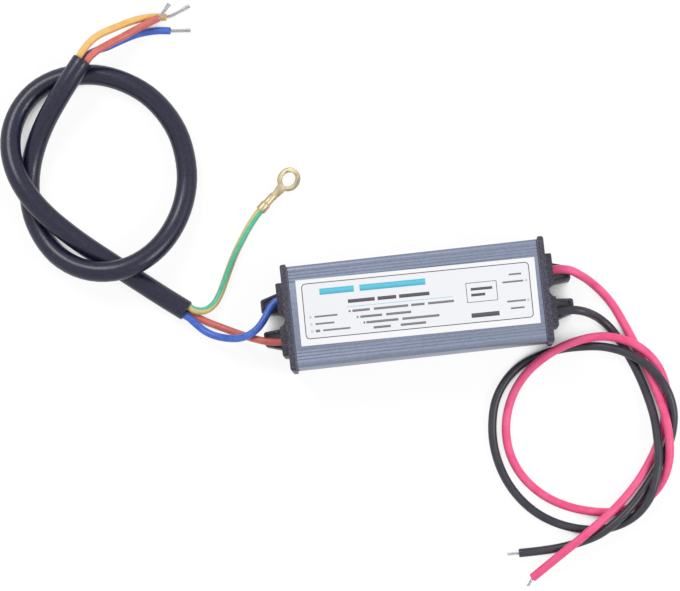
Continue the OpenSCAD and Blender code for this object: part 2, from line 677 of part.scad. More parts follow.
neutral_path = concat(from_cable(core_seat(cable_path, 0, -core_spread, core_raise), cut_in, neutral_route),
    into_board(-1, exit_y, core_d));
live_path = concat(from_cable(core_seat(cable_path, 0, 0, -2 * core_raise), cut_in, live_route),
    into_board(-1, -exit_y, core_d));
earth_end = terminal_at - [boss_x, 0, 0];
earth_path = concat(from_cable(core_seat(cable_path, 0, core_spread, core_raise), cut_in, earth_route),
    [earth_end - barrel_entry * [cos(terminal_yaw), sin(terminal_yaw), 0], earth_end]);
far_earth_path = from_cable(core_seat(cable_path, cable_end, -core_spread, core_raise), cut_out, far_earth_route);
far_live_path = from_cable(core_seat(cable_path, cable_end, core_spread, core_raise), cut_out, far_live_route);
far_neutral_path = from_cable(core_seat(cable_path, cable_end, 0, -2 * core_raise), cut_out, far_neutral_route);
positive_path = concat(reversed(into_board(1, exit_y, lead_d)), placed(positive_route, boss_x));
negative_path = concat(reversed(into_board(1, -exit_y, lead_d)), placed(negative_route, boss_x));

// Sheathed three-core cable
module mains_cable() {
    color("black") cord(cable_path, cable_d, 12);
}

module neutral_lead() {
    color("royalblue") cord(neutral_path, core_d, 8);
}

module live_lead() {
    color("indianred") cord(live_path, core_d, 8);
}

module earth_lead() {
    color("mediumseagreen") cord(earth_path, core_d, 8);
}

module far_live_core() {
    color("indianred") cord(far_live_path, core_d, 8);
}

module far_neutral_core() {
    color("royalblue") cord(far_neutral_path, core_d, 8);
}

module far_earth_core() {
    color("orange") cord(far_earth_path, core_d, 8);
}

module positive_lead() {
    color("deeppink") cord(positive_path, lead_d, 8);
}

module negative_lead() {
    color("dimgray") cord(negative_path, lead_d, 8);
}

// Bare strands that carry on past the end of a cord
module tip(path, l) {
    n = len(path);
    color("silver") rod(path[n - 1], path[n - 1] + l * heading(path, n - 1), strand_d);
}

module far_live_tip() {
    tip(far_live_path, core_tip_l);
}

module far_neutral_tip() {
    tip(far_neutral_path, core_tip_l);
}

module far_earth_tip() {
    tip(far_earth_path, core_tip_l);
}

module positive_tip() {
    tip(positive_path, lead_tip_l);
}

module negative_tip() {
    tip(negative_path, lead_tip_l);
}

// Crimped ring terminal: a barrel that grips the earth lead, a narrower one pressed on its bare strands with
// the seam underneath, a strap that widens and the ring
module ring_terminal() {
    inner = core_d / 2 + barrel_gap;
    color("darkkhaki") translate(earth_end) rotate([0, 0, terminal_yaw]) rotate([terminal_roll, 0, 0]) {
        difference() {
            rotate([0, 90, 0]) rotate_extrude() polygon([[0, -barrel_grip], [inner + barrel_wall, -barrel_grip],
                [inner + barrel_wall, 0], [crimp_d / 2, crimp_taper], [crimp_d / 2, crimp_l], [0, crimp_l]]);
            translate([-barrel_grip - 1, 0, 0]) rotate([0, 90, 0]) cylinder(r = inner, h = barrel_grip + 1);
            rotate([0, 90, 0]) cylinder(d = strand_d, h = crimp_l + 1);
            translate([-barrel_grip - 1, -seam_w / 2, -2 * inner]) cube([barrel_grip + crimp_l + 2, seam_w, 2 * inner]);
        }
        translate([0, 0, strap_rise]) difference() {
            linear_extrude(ring_t) {
                polygon([[crimp_l - 1, -strap_w / 2], [crimp_l, -strap_w / 2], [terminal_reach, -strap_flare / 2],
                    [terminal_reach, strap_flare / 2], [crimp_l, strap_w / 2], [crimp_l - 1, strap_w / 2]]);
                translate([terminal_reach, 0]) circle(d = ring_d);
            }
            translate([terminal_reach, 0, -1]) cylinder(d = ring_hole_d, h = ring_t + 2);
        }
    }
}

case_extrusion();
rating_label();
input_end_cap();
output_end_cap();
input_gasket();
output_gasket();
circuit_board();
insulation_sheet();
input_fuse();
varistor();
x_capacitor();
choke_core();
choke_windings();
bridge_rectifier();
input_capacitor();
transformer_core();
transformer_bobbin();
transformer_winding();
controller_chip();
switch_transistor();
output_diode();
output_capacitor();
y_capacitor();
chip_resistors();
mains_cable();
neutral_lead();
live_lead();
earth_lead();
ring_terminal();
far_live_core();
far_neutral_core();
far_earth_core();
far_live_tip();
far_neutral_tip();
far_earth_tip();
positive_lead();
negative_lead();
positive_tip();
negative_tip();
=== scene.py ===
# LED driver: a grooved aluminium tube with a moulded cap in each end, a three-core mains cable on the
# input end and two silicone leads on the output end. Everything is in metres, in the part's own frame.
import math

import bmesh
import bpy
from mathutils import Matrix, Vector


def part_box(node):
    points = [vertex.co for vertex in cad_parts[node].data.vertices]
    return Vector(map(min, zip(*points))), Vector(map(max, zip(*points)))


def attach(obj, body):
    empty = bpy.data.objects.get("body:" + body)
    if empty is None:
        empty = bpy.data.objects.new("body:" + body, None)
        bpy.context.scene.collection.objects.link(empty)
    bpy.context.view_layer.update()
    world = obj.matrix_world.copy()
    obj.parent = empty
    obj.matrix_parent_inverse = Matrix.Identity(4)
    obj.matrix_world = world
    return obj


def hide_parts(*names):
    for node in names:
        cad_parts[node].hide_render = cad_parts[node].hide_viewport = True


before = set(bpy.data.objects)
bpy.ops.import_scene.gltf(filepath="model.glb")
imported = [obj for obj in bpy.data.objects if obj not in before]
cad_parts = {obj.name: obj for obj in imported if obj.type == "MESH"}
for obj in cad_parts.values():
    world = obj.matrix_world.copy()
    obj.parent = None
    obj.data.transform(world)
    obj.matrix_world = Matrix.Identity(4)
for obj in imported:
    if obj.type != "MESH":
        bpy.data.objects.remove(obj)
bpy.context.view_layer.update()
scene = bpy.context.scene
scene.view_settings.view_transform = "Standard"


# Camera: the driver is seen from almost straight above through a long lens, turned a little so that
# the case climbs to the right. The frame is 680 by 591, and the sensor's width is the frame's width.
eye = Vector((-0.0028, -0.0860, 1.1961))
right = Vector((0.9937, -0.1086, -0.0280)).normalized()
up = Vector((0.1104, 0.9911, 0.0752)).normalized()
back = right.cross(up).normalized()
camera = bpy.data.objects.new("camera", bpy.data.cameras.new("camera"))
axes = Matrix((right, back.cross(right), back)).transposed()
camera.matrix_world = Matrix.Translation(eye) @ axes.to_4x4()
camera.data.sensor_fit = "HORIZONTAL"
camera.data.sensor_width = 36
camera.data.lens = 182
scene.collection.objects.link(camera)
scene.camera = camera


# Table and light: a white sheet under an even white room, with one large soft lamp over each side.
# The sheet shows nearly pure white, takes a soft shadow, and has painted shade where two cords leave it a
# narrow gap.
def linear(code):
    """An sRGB hex colour as linear red, green, blue and alpha."""
    parts = [int(code[i:i + 2], 16) / 255 for i in (1, 3, 5)]
    return [c / 12.92 if c <= 0.04045 else ((c + 0.055) / 1.055) ** 2.4 for c in parts] + [1]


def add(tree, kind, inputs=(), **settings):
    """Adds one node, sets its options, and fills its inputs with values or links."""
    node = tree.nodes.new(kind)
    for key, value in settings.items():
        setattr(node, key, value)
    for key, value in dict(inputs).items():
        if isinstance(value, bpy.types.NodeSocket):
            tree.links.new(value, node.inputs[key])
        else:
            node.inputs[key].default_value = value
    return node


def calc(tree, operation, *values):
    """The result of one sum on values or links."""
    return add(tree, "ShaderNodeMath", dict(enumerate(values)), operation=operation).outputs[0]


def remap(tree, value, start=(0, 1), end=(0, 1)):
    """The value, carried from one range over to another and held inside it."""
    return add(tree, "ShaderNodeMapRange", dict(enumerate((value, *start, *end)))).outputs[0]


def blank(name):
    """A new material with an empty tree."""
    material = bpy.data.materials.new(name)
    material.use_nodes = True
    material.node_tree.nodes.clear()
    return material, material.node_tree


def seen(tree):
    """1 for what the camera sees, straight or in a reflection, and 0 for light that falls on things."""
    path = add(tree, "ShaderNodeLightPath").outputs
    direct = calc(tree, "MAXIMUM", path["Is Camera Ray"], path["Is Glossy Ray"])
    return calc(tree, "MAXIMUM", direct, path["Is Transmission Ray"])


room_level = 0.5
room = bpy.data.worlds.new("white_room")
room.use_nodes = True
room.node_tree.nodes.clear()
level = remap(room.node_tree, seen(room.node_tree), end=(room_level, 1))
walls = add(room.node_tree, "ShaderNodeBackground", {"Color": linear("#FFFFFF"), "Strength": level})
add(room.node_tree, "ShaderNodeOutputWorld", {"Surface": walls.outputs[0]})
scene.world = room

sheet_size = 2.0
sheet_drop = 0.0001
sheet_white = 0.84
gap_reach, gap_rays = 0.02, 24
gap_shut, gap_open = 0.12, 0.36
gap_glow_painted_shade, open_glow = 0.12, 1.06
paper, tree = blank("white_paper_sheet")
dull = add(tree, "ShaderNodeBsdfDiffuse", {"Color": linear("#F6F6F8")})
# An occlusion test dims the sheet's glow in narrow gaps between cords: painted shade, not a cast shadow.
open_sky = add(tree, "ShaderNodeAmbientOcclusion", {"Distance": gap_reach}, samples=gap_rays)
strength = remap(tree, open_sky.outputs["AO"], (gap_shut, gap_open), (gap_glow_painted_shade, open_glow))
glow = add(tree, "ShaderNodeEmission", {"Color": linear("#FFFFFF"), "Strength": strength})
share = calc(tree, "MULTIPLY", seen(tree), sheet_white)
both = add(tree, "ShaderNodeMixShader", {0: share, 1: dull.outputs[0], 2: glow.outputs[0]})
add(tree, "ShaderNodeOutputMaterial", {"Surface": both.outputs[0]})


def mesh_piece(name, points, faces, *materials):
    """A mesh object at the origin, with its materials in order."""
    mesh = bpy.data.meshes.new(name)
    mesh.from_pydata(points, [], faces)
    for material in materials:
        mesh.materials.append(material)
    piece = bpy.data.objects.new(name, mesh)
    scene.collection.objects.link(piece)
    return piece


half = sheet_size / 2
corners = [(x * half, y * half, -sheet_drop) for x, y in ((-1, -1), (1, -1), (1, 1), (-1, 1))]
mesh_piece("white_sheet", corners, [(0, 1, 2, 3)], paper)

for side, place, size, power in (("left", (-0.45, 0.75, 0.95), 0.45, 5.5),
                                 ("right", (0.80, -0.28, 0.85), 0.35, 4.5)):
    lamp = bpy.data.objects.new("soft_lamp_" + side, bpy.data.lights.new("soft_lamp_" + side, "AREA"))
    lamp.data.size = size
    lamp.data.energy = power
    lamp.location = place
    lamp.rotation_euler = (-Vector(place)).to_track_quat("-Z", "Y").to_euler()
    scene.collection.objects.link(lamp)


# Mains cable: a round PVC sheath over three twisted cores, bought by the metre and cut square at both
# ends, where the wall of the sheath shows. It lies in one loose turn that crosses itself three times.
cable_d = 0.0072
cable_route = [
    (-0.0799, 0.0076, 0.0036), (-0.0866, 0.0128, 0.0036), (-0.0933, 0.0182, 0.0037),
    (-0.0998, 0.0235, 0.0041), (-0.1063, 0.0288, 0.0052), (-0.1127, 0.0341, 0.0072),
    (-0.1187, 0.0396, 0.0094), (-0.1245, 0.0457, 0.0111), (-0.1294, 0.0525, 0.0117),
    (-0.133, 0.0601, 0.0108), (-0.1347, 0.0682, 0.0089), (-0.1341, 0.0763, 0.0067),
    (-0.1307, 0.0839, 0.005), (-0.1249, 0.0899, 0.004), (-0.1172, 0.0934, 0.0037),
    (-0.1087, 0.0943, 0.0036), (-0.1004, 0.093, 0.0037), (-0.0926, 0.0896, 0.0038),
    (-0.0857, 0.0846, 0.0038), (-0.0804, 0.0781, 0.0038), (-0.0766, 0.0704, 0.0037),
    (-0.0749, 0.0622, 0.0036), (-0.0749, 0.0537, 0.0038), (-0.0769, 0.0455, 0.0047),
    (-0.0805, 0.0381, 0.0062), (-0.0856, 0.0316, 0.0085), (-0.0921, 0.0267, 0.0107), (-0.1, 0.0239, 0.0119),
    (-0.1084, 0.024, 0.0113), (-0.1161, 0.0268, 0.0093), (-0.1225, 0.0319, 0.0069), (-0.127, 0.0388, 0.005),
    (-0.1297, 0.0467, 0.004), (-0.1302, 0.0552, 0.0037), (-0.1289, 0.0635, 0.0041),
    (-0.1259, 0.0714, 0.0055), (-0.1218, 0.0785, 0.0075), (-0.1169, 0.0851, 0.0096),
    (-0.1117, 0.0916, 0.0109), (-0.1063, 0.0982, 0.011)]


def smooth(route, step):
    """Points about a step apart on one smooth curve through the route's points."""
    knots = [Vector(p) for p in route]
    knots = [2 * knots[0] - knots[1]] + knots + [2 * knots[-1] - knots[-2]]
    path = []
    for a, b, c, d in zip(knots, knots[1:], knots[2:], knots[3:]):
        t = [0.0]
        for p, q in ((a, b), (b, c), (c, d)):
            t.append(t[-1] + math.sqrt((q - p).length))
        count = max(2, round((c - b).length / step))
        for i in range(count):
            u = t[1] + (t[2] - t[1]) * i / count
            ab = a.lerp(b, (u - t[0]) / (t[1] - t[0]))
            bc = b.lerp(c, (u - t[1]) / (t[2] - t[1]))
            cd = c.lerp(d, (u - t[2]) / (t[3] - t[2]))
            first = ab.lerp(bc, (u - t[0]) / (t[2] - t[0]))
            last = bc.lerp(cd, (u - t[1]) / (t[3] - t[1]))
            path.append(first.lerp(last, (u - t[1]) / (t[2] - t[1])))
    return path + [knots[-2]]


def tube(name, route, diameter, sides, material, end=((0.0003, 1.0), (0.0, 0.9))):
    """A round cord on a route, with a UV map that runs once round it and along it in metres. Each of its
    ends is turned from pairs: how far back from the end a ring lies, and its share of the radius."""
    path = smooth(route, diameter * 0.45)
    around = zip(path[:1] + path, path[1:] + path[-1:])
    heads = [(after - before).normalized() for before, after in around]
    rings = [(path[0] + heads[0] * inset, heads[0], share) for inset, share in reversed(end)]
    rings += [(p, t, 1.0) for p, t in zip(path[1:-1], heads[1:-1])]
    rings += [(path[-1] - heads[-1] * inset, heads[-1], share) for inset, share in end]
    points, along, run = [], [], 0.0
    across = heads[0].cross(Vector((0, 0, 1))).normalized()
    for i, (middle, head, share) in enumerate(rings):
        across = (across - head * across.dot(head)).normalized()
        lift = head.cross(across)
        run += (middle - rings[max(i - 1, 0)][0]).length
        along.append(run)
        for k in range(sides):
            turn = 2 * math.pi * k / sides
            points.append(middle + (across * math.cos(turn) + lift * math.sin(turn)) * diameter / 2 * share)
    faces = []
    for i in range(len(rings) - 1):
        for k in range(sides):
            a, b = i * sides + k, i * sides + (k + 1) % sides
            faces.append((a, b, b + sides, a + sides))
    last = (len(rings) - 1) * sides
    faces += [tuple(reversed(range(sides))), tuple(range(last, last + sides))]
    piece = mesh_piece(name, points, faces, material)
    layer = piece.data.uv_layers.new(name="round_and_along")
    for face in piece.data.polygons[:-2]:
        for step, loop in enumerate(face.loop_indices):
            i, k = divmod(face.index, sides)
            layer.data[loop].uv = ((k + (step in (1, 2))) / sides, along[i + (step in (2, 3))])
    piece.data.polygons.foreach_set("use_smooth", [True] * len(faces))
    piece.data.set_sharp_from_angle(angle=math.radians(50))
    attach(piece, "root")
    return piece, path


def blend(tree, share, low, high):
    """A colour between two others, by a share. Each of them is a hex code or a link."""
    low, high = [end if isinstance(end, bpy.types.NodeSocket) else linear(end) for end in (low, high)]
    return add(tree, "ShaderNodeMix", {0: share, 6: low, 7: high}, data_type="RGBA").outputs[2]


def noise(tree, place, scale, detail, roughness=0.5):
    """Soft noise at a place, where the scale is how many spots a unit of length holds."""
    return add(tree, "ShaderNodeTexNoise", {
        "Vector": place, "Scale": scale, "Detail": detail, "Roughness": roughness}).outputs[0]


def bumps(tree, height, strength, distance):
    """A surface direction that follows a height."""
    return add(tree, "ShaderNodeBump", {
        "Strength": strength, "Distance": distance, "Height": height}).outputs[0]


def coat(tree, inputs):
    """Ends a material with one plain surface."""
    skin = add(tree, "ShaderNodeBsdfPrincipled", inputs)
    add(tree, "ShaderNodeOutputMaterial", {"Surface": skin.outputs[0]})


def mottled(name, dark, pale, grain, roughness, relief, **shader):
    """A coloured plastic: two shades in soft spots of the grain's size, which is also its relief."""
    uneven = 0.06
    material, tree = blank(name)
    place = add(tree, "ShaderNodeTexCoord").outputs["Object"]
    spots = noise(tree, place, 1 / grain, 3.0, 0.6)
    spread = remap(tree, spots, (0.3, 0.7))
    coat(tree, {
        "Base Color": blend(tree, spread, dark, pale),
        "Roughness": remap(tree, spread, end=(roughness - uneven, roughness + uneven)),
        "Normal": bumps(tree, spots, 0.6, relief), **shader})
    return material


# Flexible PVC, drawn through a die: a satin blue-black with faint lines along it, 0.4 mm apart.
line_gap, line_breaks, spot_size = 0.0004, 60, 0.0011
sheath_pvc, tree = blank("sheath_pvc")
place = add(tree, "ShaderNodeTexCoord").outputs
stretch = (math.pi * cable_d / line_gap, line_breaks, 1)
stretched = add(tree, "ShaderNodeMapping", {"Vector": place["UV"], "Scale": stretch})
lines = noise(tree, stretched.outputs[0], 1.0, 2.0)
spots = noise(tree, place["Object"], 1 / spot_size, 3.0)
worn = calc(tree, "MULTIPLY", lines, spots)
spread = remap(tree, worn, (0.15, 0.42))
coat(tree, {
    "Base Color": blend(tree, spread, "#14152A", "#262744"), "Roughness": remap(tree, spread, end=(0.27, 0.36)),
    "Normal": bumps(tree, worn, 0.35, 0.00006), "Specular IOR Level": 0.44})

sheath_end = ((0.0004, 1.0), (0.0, 0.95), (0.0, 0.76), (0.0014, 0.72))
cable, cable_path = tube("mains_cable_sheath", cable_route, cable_d, 28, sheath_pvc, sheath_end)
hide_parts("mains_cable")


# Cores at the case: blue neutral and brown live run from the sheath's cut end into the input cap and on to
# the board, and the green and yellow earth core runs to the ring terminal. PVC insulation over fine strands.
core_d = 0.0026
neutral_route = [
    (-0.0809, 0.0063, 0.0044), (-0.0793, 0.0051, 0.0044), (-0.0767, 0.0022, 0.0046),
    (-0.0742, -0.0002, 0.005), (-0.0714, -0.002, 0.006), (-0.0684, -0.0032, 0.0073),
    (-0.0653, -0.004, 0.0089), (-0.0622, -0.0043, 0.0105), (-0.059, -0.0037, 0.0118),
    (-0.056, -0.0021, 0.0124), (-0.0536, 0.0003, 0.0123), (-0.0517, 0.0031, 0.0118),
    (-0.0503, 0.0052, 0.0114), (-0.0486, 0.0068, 0.0113), (-0.0465, 0.0073, 0.0113),
    (-0.042, 0.0073, 0.0113), (-0.038, 0.0073, 0.0092), (-0.034, 0.0073, 0.0084)]
live_route = [
    (-0.0799, 0.0076, 0.0019), (-0.0783, 0.0064, 0.0019), (-0.0753, 0.0043, 0.0019),
    (-0.0723, 0.0026, 0.002), (-0.0694, 0.0011, 0.0024), (-0.0665, -0.0004, 0.0033),
    (-0.0638, -0.0018, 0.0047), (-0.0612, -0.0031, 0.0064), (-0.0588, -0.0043, 0.0085),
    (-0.0563, -0.0054, 0.0103), (-0.0532, -0.0065, 0.0114), (-0.0499, -0.0071, 0.0114),
    (-0.0465, -0.0073, 0.0113), (-0.042, -0.0073, 0.0113), (-0.038, -0.0073, 0.0092),
    (-0.034, -0.0073, 0.0084)]
earth_route = [
    (-0.0789, 0.0089, 0.0044), (-0.0773, 0.0076, 0.0044), (-0.0735, 0.0071, 0.0032),
    (-0.0702, 0.0091, 0.002), (-0.0679, 0.0123, 0.0015), (-0.0661, 0.0158, 0.0014),
    (-0.0644, 0.0194, 0.0014), (-0.0626, 0.023, 0.0014), (-0.0607, 0.0265, 0.0015),
    (-0.0585, 0.0298, 0.0019), (-0.0563, 0.0331, 0.0022), (-0.0538, 0.0364, 0.0023),
    (-0.0515, 0.039, 0.0024), (-0.0486, 0.0418, 0.0024)]
blue_pvc = mottled("blue_pvc_insulation", "#3A5EC8", "#5280E2", 0.004, 0.34, 0.00001)
brown_pvc = mottled("brown_pvc_insulation", "#CC6058", "#E67C72", 0.004, 0.36, 0.00001)
yellow_pvc = mottled("yellow_pvc_insulation", "#F2BA5E", "#FFD286", 0.004, 0.36, 0.00001)

# Green insulation with a yellow stripe pressed in along each side, which winds slowly round the core.
stripe_share = 0.52
stripe_turns = -9.0
stripe_start = 0.88
stripe_blur = 0.012
striped_pvc, tree = blank("striped_pvc_insulation")
place = add(tree, "ShaderNodeTexCoord").outputs
spots = noise(tree, place["Object"], 1 / 0.0016, 3.0)
flat = add(tree, "ShaderNodeSeparateXYZ", {0: place["UV"]}).outputs
twice_round = calc(tree, "MULTIPLY_ADD", flat[0], 2.0, stripe_start)
wound = calc(tree, "MULTIPLY_ADD", flat[1], stripe_turns, twice_round)
from_middle = calc(tree, "SUBTRACT", calc(tree, "FLOORED_MODULO", wound, 1.0), 0.5)
edge = stripe_share / 2
stripe = remap(tree, calc(tree, "ABSOLUTE", from_middle), (edge + stripe_blur, edge - stripe_blur))
green = blend(tree, spots, "#45BB90", "#70D6B4")
coat(tree, {"Base Color": blend(tree, stripe, green, "#E6CB86"), "Roughness": 0.36,
            "Normal": bumps(tree, spots, 0.6, 0.00003)})

neutral, neutral_path = tube("neutral_lead_blue", neutral_route, core_d, 18, blue_pvc)
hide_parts("neutral_lead")

live, live_path = tube("live_lead_brown", live_route, core_d, 18, brown_pvc)
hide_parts("live_lead")

earth, earth_path = tube("earth_lead_striped", earth_route, core_d, 18, striped_pvc)
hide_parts("earth_lead")


# Cores at the far end of the cable: the same three, cut to about the same length and stripped. The earth
# core there shows only the yellow side of its insulation.
far_live_route = [
    (-0.1051, 0.0972, 0.0118), (-0.1038, 0.0987, 0.0119), (-0.1007, 0.1011, 0.0109),
    (-0.0978, 0.1026, 0.0094), (-0.0949, 0.1041, 0.0079), (-0.0919, 0.1055, 0.0066),
    (-0.0887, 0.107, 0.0056), (-0.0854, 0.1084, 0.005), (-0.0821, 0.1098, 0.0046),
    (-0.0787, 0.1111, 0.0044)]
far_neutral_route = [
    (-0.1063, 0.0982, 0.0093), (-0.105, 0.0998, 0.0093), (-0.1014, 0.1015, 0.008), (-0.098, 0.1025, 0.006),
    (-0.0947, 0.1039, 0.0042), (-0.0912, 0.1053, 0.0027), (-0.0874, 0.1065, 0.0018),
    (-0.0834, 0.107, 0.0014), (-0.0793, 0.107, 0.0014), (-0.0753, 0.1065, 0.0014)]
far_earth_route = [
    (-0.1075, 0.0992, 0.0118), (-0.1063, 0.1008, 0.0119), (-0.1032, 0.1042, 0.0109),
    (-0.0999, 0.1066, 0.0094), (-0.0962, 0.1082, 0.0076), (-0.0926, 0.1096, 0.0057),
    (-0.0888, 0.1109, 0.004), (-0.0847, 0.1118, 0.0027), (-0.0805, 0.112, 0.0018),
    (-0.0762, 0.1115, 0.0014)]
far_live, far_live_path = tube("far_live_core_brown", far_live_route, core_d, 18, brown_pvc)
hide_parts("far_live_core")
far_neutral, far_neutral_path = tube("far_neutral_core_blue", far_neutral_route, core_d, 18, blue_pvc)
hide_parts("far_neutral_core")
far_earth, far_earth_path = tube("far_earth_core_yellow", far_earth_route, core_d, 18, yellow_pvc)
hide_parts("far_earth_core")


# Output leads: soft silicone-rubber wire, red for positive and black for negative. They leave the bores of
# the output cap above its tongues, drop to the table and lie in two loose turns across each other.
lead_d = 0.0030
positive_route = [
    (0.034, 0.0073, 0.0086), (0.038, 0.0073, 0.0094), (0.042, 0.0073, 0.0113), (0.0465, 0.0073, 0.0113),
    (0.0507, 0.0071, 0.0114), (0.054, 0.0063, 0.0113), (0.0568, 0.0047, 0.0098), (0.0592, 0.0032, 0.0069),
    (0.0615, 0.0014, 0.0036), (0.0646, -0.0019, 0.0016), (0.0676, -0.0065, 0.0018),
    (0.0707, -0.0133, 0.0017), (0.0734, -0.0201, 0.0016), (0.0758, -0.027, 0.0018),
    (0.0781, -0.0339, 0.0028), (0.0799, -0.0409, 0.0043), (0.0812, -0.0481, 0.0054),
    (0.0815, -0.0554, 0.0054), (0.0806, -0.0626, 0.0043), (0.0777, -0.0691, 0.0028),
    (0.0726, -0.0742, 0.0018), (0.0659, -0.0771, 0.0016), (0.0587, -0.0779, 0.0017),
    (0.0517, -0.0768, 0.0018), (0.0449, -0.0746, 0.0018), (0.0384, -0.0711, 0.0017),
    (0.0329, -0.0663, 0.0017), (0.0287, -0.0603, 0.0016), (0.0263, -0.0534, 0.0016),
    (0.0259, -0.046, 0.0016), (0.0274, -0.0389, 0.0018), (0.0306, -0.0323, 0.0025),
    (0.0353, -0.0268, 0.0037), (0.0412, -0.0226, 0.0048), (0.0478, -0.0195, 0.0054),
    (0.0547, -0.0177, 0.0056), (0.062, -0.0172, 0.0056), (0.0691, -0.0189, 0.0055),
    (0.0753, -0.0226, 0.0049), (0.08, -0.0282, 0.0036), (0.0824, -0.035, 0.0023), (0.0823, -0.0422, 0.0016),
    (0.0805, -0.0493, 0.0016), (0.0776, -0.056, 0.0018), (0.0739, -0.0623, 0.0023),
    (0.0694, -0.0681, 0.0031), (0.0643, -0.0733, 0.0043), (0.0588, -0.0779, 0.0055),
    (0.0531, -0.0819, 0.0064), (0.0473, -0.0858, 0.0062), (0.0412, -0.0897, 0.0048),
    (0.0352, -0.0936, 0.0029), (0.0292, -0.0975, 0.0015)]
negative_route = [
    (0.034, -0.0073, 0.0086), (0.038, -0.0073, 0.0094), (0.042, -0.0073, 0.0113), (0.0465, -0.0073, 0.0113),
    (0.0506, -0.0072, 0.0113), (0.0541, -0.0075, 0.0113), (0.0572, -0.0083, 0.0101),
    (0.0597, -0.0093, 0.0072), (0.0623, -0.0108, 0.0038), (0.0655, -0.0139, 0.0016),
    (0.0683, -0.0185, 0.0016), (0.0714, -0.0253, 0.0016), (0.074, -0.0322, 0.0019),
    (0.0759, -0.0393, 0.0027), (0.0772, -0.0465, 0.0039), (0.0775, -0.0538, 0.005),
    (0.0771, -0.0611, 0.0058), (0.0754, -0.0683, 0.0059), (0.0722, -0.0749, 0.0052), (0.067, -0.08, 0.0037),
    (0.0604, -0.0828, 0.0022), (0.0533, -0.0834, 0.0016), (0.0464, -0.0822, 0.0017),
    (0.0395, -0.0795, 0.0018), (0.0334, -0.0755, 0.0019), (0.0283, -0.0701, 0.0017),
    (0.0245, -0.0638, 0.0016), (0.0221, -0.0568, 0.0016), (0.0211, -0.0495, 0.0016),
    (0.0216, -0.0421, 0.0017), (0.0236, -0.035, 0.0017), (0.0276, -0.0288, 0.0017),
    (0.0333, -0.0241, 0.0016), (0.0401, -0.0214, 0.0016), (0.0474, -0.0199, 0.0019),
    (0.0546, -0.0198, 0.0027), (0.0619, -0.0206, 0.0038), (0.0687, -0.023, 0.0049),
    (0.0748, -0.027, 0.0057), (0.0798, -0.0325, 0.0059), (0.083, -0.0391, 0.0054),
    (0.0841, -0.0462, 0.0039), (0.0828, -0.0533, 0.0023), (0.0797, -0.06, 0.0016), (0.0755, -0.066, 0.0021),
    (0.0709, -0.0716, 0.0036), (0.0658, -0.0768, 0.0051), (0.0601, -0.0814, 0.0057),
    (0.054, -0.085, 0.0047), (0.0476, -0.0869, 0.0029), (0.0404, -0.0881, 0.0017), (0.033, -0.0885, 0.0016),
    (0.0256, -0.0885, 0.002)]
# Silicone rubber takes no gloss from its die: a soft matt skin with a bloom that pales its edges.
red_silicone = mottled(
    "red_silicone_rubber", "#F84A85", "#FF6A9D", 0.005, 0.44, 0.00002, **{"Sheen Weight": 0.1})
black_silicone = mottled(
    "black_silicone_rubber", "#262430", "#3A3844", 0.005, 0.4, 0.00002, **{"Sheen Weight": 0.08})
positive, positive_path = tube("positive_lead_red", positive_route, lead_d, 18, red_silicone)
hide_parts("positive_lead")
negative, negative_path = tube("negative_lead_black", negative_route, lead_d, 18, black_silicone)
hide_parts("negative_lead")


# Bare ends: fine tinned copper strands, twisted together by hand after stripping, with the last of them
# standing a little apart. Each bundle starts inside the insulation that it belongs to.
def node_tree(name, sizes):
    """A geometry tree that takes a shape, sizes and a material, its inputs, and their identifiers."""
    tree = bpy.data.node_groups.new(name, "GeometryNodeTree")
    tree.interface.new_socket(name="Geometry", in_out="OUTPUT", socket_type="NodeSocketGeometry")
    tree.interface.new_socket(name="Geometry", in_out="INPUT", socket_type="NodeSocketGeometry")
    keys = {}
    for label, value in sizes.items():
        kind = "NodeSocketInt" if isinstance(value, int) else "NodeSocketFloat"
        socket = tree.interface.new_socket(name=label, in_out="INPUT", socket_type=kind)
        socket.default_value = value
        keys[label] = socket.identifier
    finish = tree.interface.new_socket(name="Finish", in_out="INPUT", socket_type="NodeSocketMaterial")
    keys["Finish"] = finish.identifier
    return tree, add(tree, "NodeGroupInput").outputs, keys


strands, given, strand_keys = node_tree("twisted_strands", {
    "Strands": 9, "Strand Radius": 0.00017, "Bundle Radius": 0.00043, "Turns": 1.2, "Splay": 0.25})
far = add(strands, "GeometryNodeSplineParameter").outputs["Factor"]
tilt = calc(strands, "MULTIPLY", calc(strands, "MULTIPLY", given["Turns"], 2 * math.pi), far)
wound = add(strands, "GeometryNodeSetCurveTilt", {"Curve": given["Geometry"], "Tilt": tilt})
late = calc(strands, "POWER", far, 3.0)
wide = calc(strands, "MULTIPLY_ADD", late, given["Splay"], 1.0)
ring = add(strands, "GeometryNodeCurvePrimitiveCircle", {
    "Resolution": given["Strands"], "Radius": given["Bundle Radius"]})
wire = add(strands, "GeometryNodeCurvePrimitiveCircle", {"Resolution": 7, "Radius": given["Strand Radius"]})
placed = add(strands, "GeometryNodeInstanceOnPoints", {
    "Points": ring.outputs[0], "Instance": wire.outputs[0]})
section = add(strands, "GeometryNodeRealizeInstances", {"Geometry": placed.outputs[0]})
heart = add(strands, "GeometryNodeCurvePrimitiveCircle", {"Resolution": 12, "Radius": given["Bundle Radius"]})
whole = add(strands, "GeometryNodeJoinGeometry", {0: section.outputs[0]})
strands.links.new(heart.outputs[0], whole.inputs[0])
swept = add(strands, "GeometryNodeCurveToMesh", {"Curve": wound.outputs[0], "Profile Curve": whole.outputs[0],
                                                 "Scale": wide, "Fill Caps": True})
real = add(strands, "GeometryNodeRealizeInstances", {"Geometry": swept.outputs[0]})
finished = add(strands, "GeometryNodeSetMaterial", {"Geometry": real.outputs[0], "Material": given["Finish"]})
add(strands, "NodeGroupOutput", {0: finished.outputs[0]})

